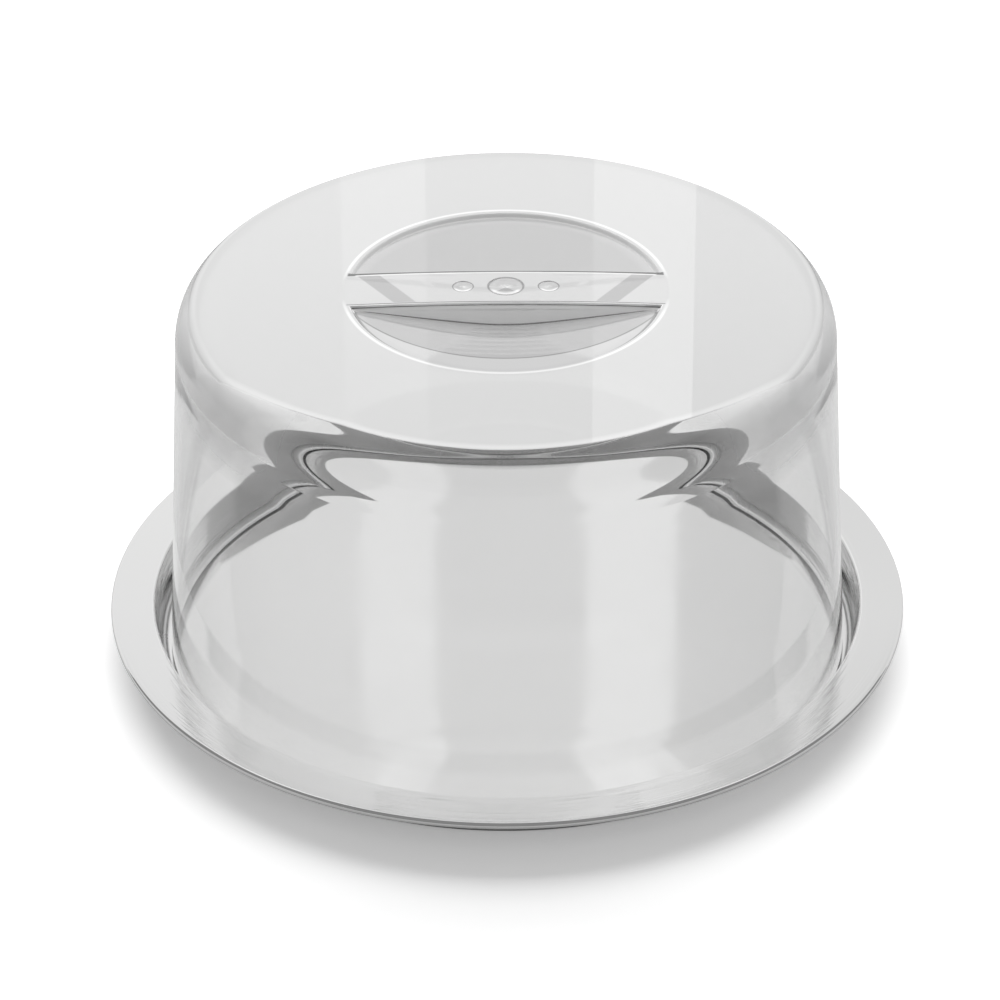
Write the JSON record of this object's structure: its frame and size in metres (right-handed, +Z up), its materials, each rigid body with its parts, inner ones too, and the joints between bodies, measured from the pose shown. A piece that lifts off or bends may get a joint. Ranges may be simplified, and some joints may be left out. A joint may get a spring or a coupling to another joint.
{
  "type": "cake dome with serving tray",
  "caption": "Clear round cake dome with a pinch-grip bar between finger pockets, standing in the well of a polished steel serving tray.",
  "frame": {"origin": "centre of the tray's underside, on the surface that it stands on", "axes": "+Z up, along the axis that the tray and the dome are turned about; X along the grip bar; -Y is the side seen from the front"},
  "size_m": [0.34, 0.34, 0.1704],
  "materials": {
    "polished_steel": "stainless steel sheet, polished to a near mirror",
    "clear_plastic": "clear moulded plastic, glossy"
  },
  "bodies": {
    "tray": {"tray": "polished_steel"},
    "dome": {"dome": "clear_plastic"}
  },
  "joints": [
    {"name": "dome_lift", "type": "slide", "parent": "tray", "child": "dome", "axis": [0, 0, 1], "range_m": [0, 0.18]}
  ]
}
